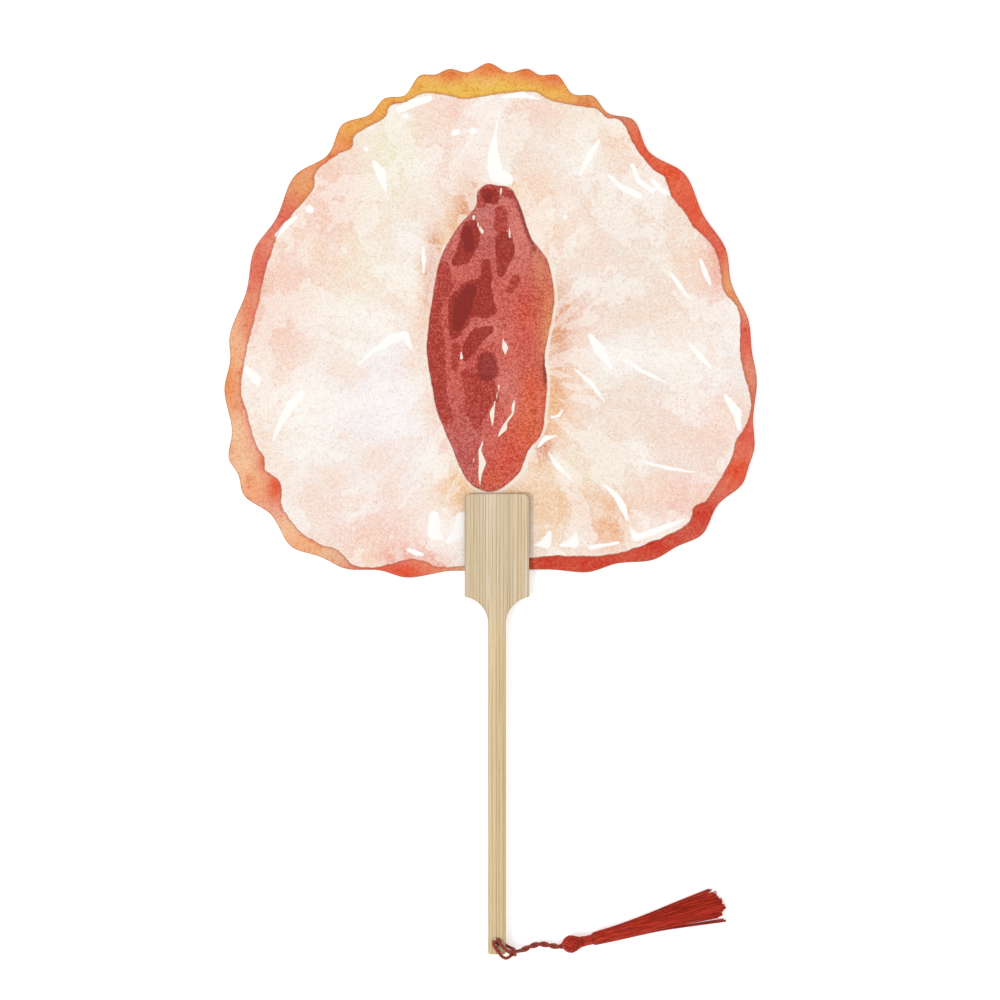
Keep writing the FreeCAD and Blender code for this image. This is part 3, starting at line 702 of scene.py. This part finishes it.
def paper_edge(name):
    """Unprinted paper, as its cut edge and its glued side show it."""
    paint = Paint(name)
    fibres = paint.noise(paint.place(), 3.0, 3.0, 0.6)
    colour = paint.mix(fibres, solid("cream"), solid("white"))
    return paint.finish(Base_Color=colour, Roughness=0.9, Normal=paint.bump(fibres, 0.00004, 0.5))


def card_edge():
    """Pressed card: fine layers one on another, with loose fibres."""
    paint = Paint("pressed_card")
    place = paint.place()
    layers = paint.noise(paint.stretched(place, 0.4, 0.4, 9.0), 1.0, 3.0)
    fibres = paint.noise(place, 3.5, 3.0, 0.65)
    colour = paint.mix(layers * 0.6, solid("white"), solid("sand"))
    colour = paint.mix(fibres.rise(0.55, 0.75) * 0.4, colour, solid("tan"))
    return paint.finish(Base_Color=colour, Roughness=0.92, Normal=paint.bump(layers + fibres, 0.00005, 0.6))


# Bamboo

def bamboo(name, offset):
    """Narrow strips pressed side by side along the handle, with fibres, pores and cut edges darkened by burn
    and painted shade.
    """
    props = settings().fan_bamboo
    paint = Paint(name)
    place = paint.place()
    wander = (paint.noise(paint.stretched(place, 0.03, 0.006, 0.03), 1.0, 1.0) - 0.5) * 0.7
    across = paint.part(place, "X") + wander + offset
    strip = {"W": across, "Scale": 1 / props.strip, "Randomness": 0.85}
    tone = paint.node("ShaderNodeTexVoronoi", {"voronoi_dimensions": "1D"}, strip, "Color")
    to_edge = {"voronoi_dimensions": "1D", "feature": "DISTANCE_TO_EDGE"}
    seam = paint.node("ShaderNodeTexVoronoi", to_edge, strip, "Distance")
    tones = paint.node("ShaderNodeSeparateColor", {}, {0: tone}, "Red")
    greens = paint.node("ShaderNodeSeparateColor", {}, {0: tone}, "Green")
    colour = paint.mix(tones, solid(props.pale), solid(props.ripe))
    colour = paint.mix(greens.rise(0.4, 0.9) * 0.75, colour, solid(props.green))
    fibres = paint.noise(paint.stretched(place, 3.2, 0.02, 3.0), 1.0, 4.0, 0.7)
    colour = paint.mix(fibres.rise(0.50, 0.66) * 0.6, colour, solid(props.fibre))
    colour = paint.mix(fibres.rise(0.46, 0.34) * 0.5, colour, solid("cream"))
    pores = paint.noise(paint.stretched(place, 8.0, 0.35, 6.0), 1.0, 2.0)
    colour = paint.mix(pores.rise(0.66, 0.74) * 0.5, colour, solid(props.pore))
    broken = paint.noise(paint.stretched(place, 1.0, 0.03, 1.0), 1.0, 2.0)
    line = seam.rise(0.16, 0.05) * broken.rise(0.25, 0.5)
    colour = paint.mix(line * 0.55, colour, solid(props.seam))
    along = paint.part(place, "Y")
    colour = paint.mix(along.rise(-15.0, -50.0), colour, solid(props.honey), "MULTIPLY")
    # Painted shade mixed with burn: side faces, which turn away from straight up or down, take the darker
    # edge colour
    burn_and_edge_shade = paint.facing().rise(0.95, 0.5) * (0.7 + broken * 0.4)
    colour = paint.mix(burn_and_edge_shade, colour, solid(props.edge_burn_and_shade))
    relief = fibres * 0.5 - line
    return paint.finish(
        Base_Color=colour, Roughness=0.5 + fibres * 0.2, Normal=paint.bump(relief, 0.00008, 0.6))


# Cord and tassel

def curve_object(name, lines, order, bevel=0.0, sides=1):
    """A curve with one spline for each line of points, filled to a round tube where bevel is given."""
    curve = bpy.data.curves.new(name, "CURVE")
    curve.dimensions = "3D"
    curve.resolution_u = 6
    curve.bevel_depth = bevel
    curve.bevel_resolution = sides
    curve.use_fill_caps = bevel > 0
    for points in lines:
        spline = curve.splines.new("NURBS")
        spline.points.add(len(points) - 1)
        for point, place in zip(spline.points, points):
            point.co = (*place, 1.0)
        spline.order_u = order
        spline.use_endpoint_u = True
    made = bpy.data.objects.new(name, curve)
    bpy.context.scene.collection.objects.link(made)
    bpy.context.view_layer.update()
    return made


def mesh_of(curve):
    """The curve's mesh, after which the curve itself is gone."""
    mesh = bpy.data.meshes.new_from_object(curve.evaluated_get(bpy.context.evaluated_depsgraph_get()))
    data = curve.data
    bpy.data.objects.remove(curve)
    bpy.data.curves.remove(data)
    return mesh


def line_through(points):
    """Points along the smooth NURBS line of a route."""
    mesh = mesh_of(curve_object("route", [points], 3))
    line = [v.co.copy() for v in mesh.vertices]
    bpy.data.meshes.remove(mesh)
    return line


def lengths_along(line):
    """How far each point is along the line."""
    along = [0.0]
    for here, after in zip(line, line[1:]):
        along.append(along[-1] + (after - here).length)
    return along


def wound_round(line, radius, pitch, phase):
    """Points of a strand that winds round the line, starting to its left at phase 0."""
    strand = []
    for i, (here, along) in enumerate(zip(line, lengths_along(line))):
        ahead = (line[min(i + 1, len(line) - 1)] - line[max(i - 1, 0)]).normalized()
        left = Vector((0, 0, 1)).cross(ahead).normalized()
        if i == 0:
            frame_left = left
        frame_left = (frame_left - ahead * frame_left.dot(ahead)).normalized()
        up = ahead.cross(frame_left)
        turn = phase + along / pitch * math.tau
        strand.append(here + (frame_left * math.cos(turn) + up * math.sin(turn)) * radius)
    return strand


def spaced(line, step):
    """Points at even steps along a line."""
    along = lengths_along(line)
    count = max(2, round(along[-1] / step))
    targets = np.linspace(0, along[-1], count + 1)
    columns = [np.interp(targets, along, [p[axis] for p in line]) for axis in range(3)]
    return [Vector(row) for row in zip(*columns)]


def twisted_plies(name, line, thick, pitch, count):
    """One strand's plies as a mesh: thin tubes that wind round its line."""
    even = spaced(line, pitch / 10)
    ply = thick * ply_share
    lines = [wound_round(even, thick * ply_offset, pitch, math.tau * i / count) for i in range(count)]
    return mesh_of(curve_object(name, lines, 2, ply, 1))


def tassel_place():
    """From the tassel's own axis, along X from the stem's eye, to the frame."""
    eye = next(j for j in frame["joints"] if j["name"] == "tassel_swing")["pos_m"]
    return Matrix.Translation(eye) @ Matrix.Rotation(settings().fan_tassel.turn, 4, "Z")


def pair_pitch():
    """The pair makes a whole number of turns between the stem's two ends."""
    return lengths_along(line_through(stem_route))[-1] / settings().fan_cord.turns


def cord_finish():
    props = settings().fan_cord
    paint = Paint("twisted_red_cord")
    place = paint.place()
    strands = paint.noise(place, 3.2, 3.0, 0.6)
    sheen = paint.noise(place, 0.8, 2.0)
    # Painted shade on the darker strands and painted sheen on the lightest ones
    colour = paint.mix(strands.rise(0.35, 0.65), solid(props.shade), solid(props.colour))
    colour = paint.mix((strands.rise(0.6, 0.75) * sheen.rise(0.4, 0.65)) * 0.5, colour, solid(props.sheen))
    return paint.finish(Base_Color=colour, Roughness=0.62, Normal=paint.bump(strands, 0.00010, 0.7))


def make_cord():
    """One continuous strand: down the stem, through the hitch and back up, twisted with itself."""
    props = settings().fan_cord
    stem = spaced(line_through(stem_route), props.strand / 2)
    pitch = pair_pitch()
    out = wound_round(stem, props.strand * pair_offset, pitch, math.pi / 2)
    back = wound_round(stem, props.strand * pair_offset, pitch, -math.pi / 2)
    route = out[::-1] + [Vector(p) for p in hitch_route] + back
    line = line_through(route)
    mesh = twisted_plies("tassel_cord", line, props.strand, props.ply_pitch, props.plies)
    cord = finished_piece("tassel_cord", mesh, cord_finish())
    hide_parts("hitch_loop", "cord_stem")
    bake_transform(cord)
    lengths_along(line)[-1]
    spaced(line, props.strand / 2)


def make_cord_ends():
    """The pair's last turn, from the stem's eye into the tassel's head; the CAD knot is hidden."""
    props = settings().fan_cord
    place = tassel_place()
    axis = [place @ Vector((x, 0, 0)) for x in np.linspace(last_turn_start, last_turn_end, 24)]
    pitch = pair_pitch()
    lines = []
    for phase in (math.pi / 2, -math.pi / 2):
        turned = phase + last_turn_start / pitch * math.tau
        strand = wound_round(axis, props.strand * pair_offset, pitch, turned)
        even = spaced(strand, props.ply_pitch / 10)
        for i in range(props.plies):
            turn = math.tau * i / props.plies
            lines.append(wound_round(even, props.strand * ply_offset, props.ply_pitch, turn))
    mesh = mesh_of(curve_object("cord_end", lines, 2, props.strand * ply_share, 1))
    ends = finished_piece("cord_end", mesh, bpy.data.materials["twisted_red_cord"])
    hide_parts("cord_knot")
    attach(ends, "tassel")


def thread_finish(name, gap_shade, shaded=0.0):
    """Satin floss: fine lines along the threads, with painted sheen where they bunch and painted shade
    between them.
    """
    props = settings().fan_tassel
    paint = Paint(name)
    place = paint.turned(paint.place(), -props.turn)
    lines = paint.noise(paint.stretched(place, 0.09, 1.6, 1.6), 1.0, 3.0, 0.6)
    floss = paint.noise(paint.stretched(place, 0.5, 4.5, 4.5), 1.0, 2.0)
    # Painted shade and painted sheen: the shade colour where the fine lines dip, the sheen colour where they
    # rise
    colour = paint.mix(lines.rise(0.35, 0.62), solid(props.shade), solid(props.colour))
    colour = paint.mix(lines.rise(0.55, 0.72) * 0.5, colour, solid(props.sheen))
    # Painted shade between the threads, where the floss noise is high
    colour = paint.mix(floss.rise(0.58, 0.7) * gap_shade, colour, solid(props.dark))
    # Darkens the whole floss, for the stray locks and for the neck's end turns, which are painted shade in
    # the creases
    colour = paint.mix(shaded, colour, solid(props.dark))
    relief = paint.bump(lines + floss, 0.00012, 0.7)
    return paint.finish(Base_Color=colour, Roughness=0.45, Specular_IOR_Level=0.3, Normal=relief)


def head_radius(distance):
    columns = list(zip(*head_profile))
    return float(np.interp(distance, columns[0], columns[1]))


def make_head():
    """A woven ball: two sets of floss that cross over and under round a closed core."""
    props = settings().fan_tassel
    place = tassel_place()
    core = bmesh.new()
    start, end = head_profile[0][0], head_profile[-1][0]
    stops = np.linspace(start, end, 15)
    profile = [core.verts.new((stops[0], 0, 0))]
    profile += [core.verts.new((d, head_radius(d) * core_share, 0)) for d in stops]
    profile += [core.verts.new((stops[-1], 0, 0))]
    edges = [core.edges.new(pair) for pair in zip(profile, profile[1:])]
    bmesh.ops.spin(
        core, geom=profile + edges, axis=(1, 0, 0), cent=(0, 0, 0), angle=math.tau, steps=24, use_merge=True)
    bmesh.ops.remove_doubles(core, verts=core.verts, dist=1e-6)
    bmesh.ops.recalc_face_normals(core, faces=core.faces[:])
    bmesh.ops.transform(core, matrix=place, verts=core.verts)
    lines = []
    for way in (1, -1):
        for i in range(props.weave):
            line = []
            for step, d in enumerate(np.linspace(start + 0.0001, end, 25)):
                share = step / 24
                turn = math.tau * i / props.weave + way * share * props.weave_turn
                lift = floss_lift * way * math.cos(props.weave * props.weave_turn * share)
                radius = head_radius(d) + lift
                line.append(place @ Vector((d, radius * math.cos(turn), radius * math.sin(turn))))
            lines.append(line)
    floss = mesh_of(curve_object("tassel_head_weave", lines, 3, floss_radius, 0))
    woven = finished_piece("tassel_head_weave", floss, thread_finish("woven_floss", 0.5))
    ball = finished_piece("tassel_head_core", core, bpy.data.materials["woven_floss"])
    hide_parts("tassel_head")
    for piece in (woven, ball):
        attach(piece, "tassel")


def make_binding():
    """Thread wound tightly round the neck."""
    place = tassel_place()
    turns = (binding_end - binding_start) / (winding_thread * winding_spacing)
    count = int(turns * winding_points)
    line = []
    for step in range(count):
        share = step / count
        turn = share * turns * math.tau
        x = binding_start + winding_thread + share * (binding_end - binding_start - 2 * winding_thread)
        line.append(place @ Vector((x, winding_radius * math.cos(turn), winding_radius * math.sin(turn))))
    wound = mesh_of(curve_object("neck_winding", [line], 3, winding_thread, 1))
    winding = finished_piece("neck_winding", wound, thread_finish("wound_floss", 0.3))
    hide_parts("neck_binding")
    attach(winding, "tassel")


def skirt_thread(place, across, up, reach, sway):
    """One thread: its place in the bundle's section, how far it reaches, and how it strays."""
    line = []
    for distance, lean, half_width, half_height, middle in skirt_sections:
        x = binding_end + distance * reach
        share = max(0.0, distance / skirt_sections[-1][0])
        y = lean + half_width * across + sway[0] * share * share
        point = place @ Vector((x, y, 0))
        point.z = max(middle + half_height * up + sway[1] * share, lowest_thread)
        line.append(point)
    return line


def make_skirt():
    """Loose threads that sink to the table and spread."""
    props = settings().fan_tassel
    dice = random.Random(7)
    place = tassel_place()
    lines = []
    for i in range(props.threads):
        radius = math.sqrt((i + 0.5) / props.threads)
        turn = i * math.pi * (3 - math.sqrt(5))
        across = radius * math.cos(turn)
        lock_sway, lock_reach = locks[min(int((across + 1) / 2 * len(locks)), len(locks) - 1)]
        sway = (lock_sway + dice.gauss(0, thread_sway), dice.uniform(*thread_rise))
        reach = lock_reach + dice.uniform(*thread_reach)
        lines.append(skirt_thread(place, across, radius * math.sin(turn), reach, sway))
    threads = mesh_of(curve_object("tassel_threads", lines, 3, props.thread / 2, 0))
    skirt = finished_piece("tassel_threads", threads, thread_finish("loose_floss", 0.4))
    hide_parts("tassel_skirt")
    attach(skirt, "tassel")


def make_strays_and_crease_shade():
    """Stray locks at the skirt's two sides, and at each end of the neck a dark turn of painted crease shade.
    """
    props = settings().fan_tassel
    place = tassel_place()
    lines = [skirt_thread(place, *stray) for stray in stray_locks]
    # Painted shade: a dark turn of thread in the crease at each end of the neck
    for x in crease_shade_turns:
        ring = []
        for turn in np.linspace(0, 2 * math.tau, 49):
            y = crease_shade_radius * math.cos(turn)
            z = crease_shade_radius * math.sin(turn)
            ring.append(place @ Vector((x + turn * crease_shade_creep, y, z)))
        lines.append(ring)
    threads = mesh_of(curve_object("strays_and_crease_shade", lines, 3, props.thread / 2, 0))
    dark = finished_piece("strays_and_crease_shade", threads, thread_finish("dark_and_crease_shade_floss", 0.4, 0.6))
    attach(dark, "tassel")


# Settings

def length(name, description, metres):
    return FloatProperty(name=name, description=description, default=metres, unit="LENGTH")


def tint(name, description, code):
    """A colour setting, its usual value written in six hexadecimal digits."""
    return FloatVectorProperty(name=name, description=description, subtype="COLOR", default=linear(code))


class FanStageSettings(bpy.types.PropertyGroup):
    field: length("Field", "Width of what the camera sees at the fan", 0.43)
    lens: FloatProperty(name="Lens", description="The camera's focal length, in millimetres", default=120)
    floor: length("Floor", "Side of the floor", 6.0)
    floor_colour: FloatVectorProperty(
        name="Floor colour", description="Colour of the floor", subtype="COLOR", default=(0.99, 0.99, 0.99))
    floor_glow: FloatProperty(name="Floor glow", description="Light of the backlit floor", default=0.32)
    daylight: FloatProperty(name="Daylight", description="Strength of the light from all sides", default=0.80)
    lamp: FloatProperty(name="Lamp", description="Strength of the soft lamp on the left", default=0.95)


class FanPrintSettings(bpy.types.PropertyGroup):
    cell: length("Grid", "Spacing of the points that hold the paint", 0.0009)
    paper: tint("Paper", "Bare paper in the gleams", "fdfbf8")
    fleck: tint("Flecks", "Flecks in the flesh", "c99b82")
    pencil: tint("Pencil", "Line along the cut edge", "9a7560")
    granulation: tint("Granulation", "Pale grains in the stone", "e4887a")
    blot: tint("Blots", "Dark blots in the stone", "962c24")
    core: tint("Cores", "Darkest marks and outline of the stone", "7c2a27")


class FanBambooSettings(bpy.types.PropertyGroup):
    strip: FloatProperty(name="Strip", description="Usual width of a strip, in millimetres", default=1.45)
    pale: tint("Pale", "Palest strips", "e2cdae")
    ripe: tint("Ripe", "Deepest strips", "d5bb92")
    green: tint("Green", "Greenish strips", "cabd9e")
    honey: tint("Honey", "Warmth of the shaft", "fbf7e2")
    fibre: tint("Fibre", "Fibres", "bea379")
    pore: tint("Pores", "Short dark pores", "8a6a42")
    seam: tint("Seams", "Lines between the strips", "8c7350")
    # The cut edges' colour: partly burnt bamboo, partly painted shade on the side faces
    edge_burn_and_shade: tint("Toast", "Cut edges", "7a5a36")


class FanCordSettings(bpy.types.PropertyGroup):
    strand: length("Strand", "Thickness of the cord", 0.0013)
    plies: IntProperty(name="Plies", description="Plies in the cord", default=3)
    ply_pitch: length("Ply pitch", "Length of one turn of a ply", 0.0034)
    turns: IntProperty(name="Turns", description="Turns of the pair along the stem", default=2)
    colour: tint("Colour", "Colour of the cord", "b0402a")
    # Shade and sheen are painted shade and painted sheen on the cord
    shade: tint("Shade", "Dark of the cord", "6b2216")
    sheen: tint("Sheen", "Lightest threads", "e58a70")


class FanTasselSettings(bpy.types.PropertyGroup):
    turn: FloatProperty(
        name="Turn", description="How far the tassel's axis turns from +X",
        default=math.radians(12.5), subtype="ANGLE")
    threads: IntProperty(name="Threads", description="Loose threads in the skirt", default=210)
    thread: length("Thread", "Thickness of a thread", 0.00058)
    weave: IntProperty(name="Weave", description="Threads each way round the head", default=13)
    weave_turn: FloatProperty(
        name="Weave turn", description="How far a thread turns round the head", default=1.9, subtype="ANGLE")
    colour: tint("Colour", "Colour of the threads", "cc3318")
    shade: tint("Shade", "Shaded threads", "931f0d")
    sheen: tint("Sheen", "Brightest threads", "f0603c")
    # Dark: painted shade between the threads, and the colour of the stray locks and the neck's end turns
    dark: tint("Dark", "Darkest threads", "6e1c0c")


# Operators

class FAN_OT_stage(bpy.types.Operator):
    """Sets the floor, the soft light and the camera straight above the fan"""
    bl_idname = "fan.stage"
    bl_label = "Stage"

    def execute(self, context):
        props = context.scene.fan_stage
        camera = bpy.data.cameras.new("camera")
        camera.lens = props.lens
        camera.sensor_width = 36
        camera.clip_end = 100
        eye = bpy.data.objects.new("camera", camera)
        distance = props.field * camera.lens / camera.sensor_width
        eye.location = (*view_middle, distance)
        context.scene.collection.objects.link(eye)
        context.scene.camera = eye
        floor = bmesh.new()
        bmesh.ops.create_grid(floor, x_segments=1, y_segments=1, size=props.floor / 2)
        ground = finished_piece("floor", floor, self.floor_finish(props))
        lamp = bpy.data.lights.new("soft_lamp", "SUN")
        lamp.energy = props.lamp
        lamp.angle = math.radians(lamp_softness)
        light = bpy.data.objects.new("soft_lamp", lamp)
        light.rotation_euler = (math.radians(lamp_tilt[0]), math.radians(lamp_tilt[1]), 0)
        context.scene.collection.objects.link(light)
        world = bpy.data.worlds.new("daylight")
        world.use_nodes = True
        world.node_tree.nodes["Background"].inputs["Color"].default_value = (1, 1, 1, 1)
        world.node_tree.nodes["Background"].inputs["Strength"].default_value = props.daylight
        context.scene.world = world
        context.scene.view_settings.view_transform = "Standard"
        return {"FINISHED"}

    def floor_finish(self, props):
        paint = Paint("pale_floor")
        mottle = paint.noise(paint.place(), 0.02, 2.0)
        tint = paint.mix(mottle * 0.1, solid(props.floor_colour), (0.95, 0.95, 0.95, 1.0))
        return paint.finish(
            Base_Color=tint, Roughness=0.9, Emission_Color=(1, 1, 1, 1), Emission_Strength=props.floor_glow)


class FAN_OT_cord(bpy.types.Operator):
    """Lays the twisted cord through the butt's hole and up to the tassel"""
    bl_idname = "fan.cord"
    bl_label = "Cord"

    def execute(self, context):
        make_cord()
        make_cord_ends()
        return {"FINISHED"}


class FAN_OT_blade(bpy.types.Operator):
    """Paints both printed sheets of the blade, and finishes the card between them"""
    bl_idname = "fan.blade"
    bl_label = "Blade"

    def execute(self, context):
        printed_sheet("front_print_sheet", "blade_front_print", True)
        printed_sheet("back_print_sheet", "blade_back_print", False)
        finish_node("blade_core_card", card_edge())
        return {"FINISHED"}


class FAN_OT_handle(bpy.types.Operator):
    """Finishes the handle and the plate behind the blade as pressed bamboo strips"""
    bl_idname = "fan.handle"
    bl_label = "Handle"

    def execute(self, context):
        for node, offset in (("handle", 0.0), ("rear_clamp_plate", 37.0)):
            finish_node(node, bamboo(node + "_bamboo", offset))
        return {"FINISHED"}


class FAN_OT_tassel(bpy.types.Operator):
    """Makes the tassel's woven head, its wound neck and its loose threads"""
    bl_idname = "fan.tassel"
    bl_label = "Tassel"

    def execute(self, context):
        make_head()
        make_binding()
        make_skirt()
        make_strays_and_crease_shade()
        return {"FINISHED"}


steps = ["stage", "cord", "blade", "handle", "tassel"]


class FAN_PT_panel(bpy.types.Panel):
    bl_idname = "FAN_PT_panel"
    bl_label = "Hand Fan"
    bl_space_type = "VIEW_3D"
    bl_region_type = "UI"
    bl_category = "Hand Fan"

    def draw(self, context):
        for step in steps:
            self.layout.operator("fan." + step)


property_groups = {
    "fan_stage": FanStageSettings, "fan_print": FanPrintSettings, "fan_bamboo": FanBambooSettings,
    "fan_cord": FanCordSettings, "fan_tassel": FanTasselSettings,
}
classes = [
    *property_groups.values(),
    FAN_OT_stage, FAN_OT_cord, FAN_OT_blade, FAN_OT_handle, FAN_OT_tassel, FAN_PT_panel,
]


def register():
    for cls in classes:
        bpy.utils.register_class(cls)
    for name, group in property_groups.items():
        setattr(bpy.types.Scene, name, PointerProperty(type=group))


def unregister():
    for name in property_groups:
        delattr(bpy.types.Scene, name)
    for cls in reversed(classes):
        bpy.utils.unregister_class(cls)


def main():
    register()
    for step in steps:
        getattr(bpy.ops.fan, step)()


if __name__ == "__main__":
    main()
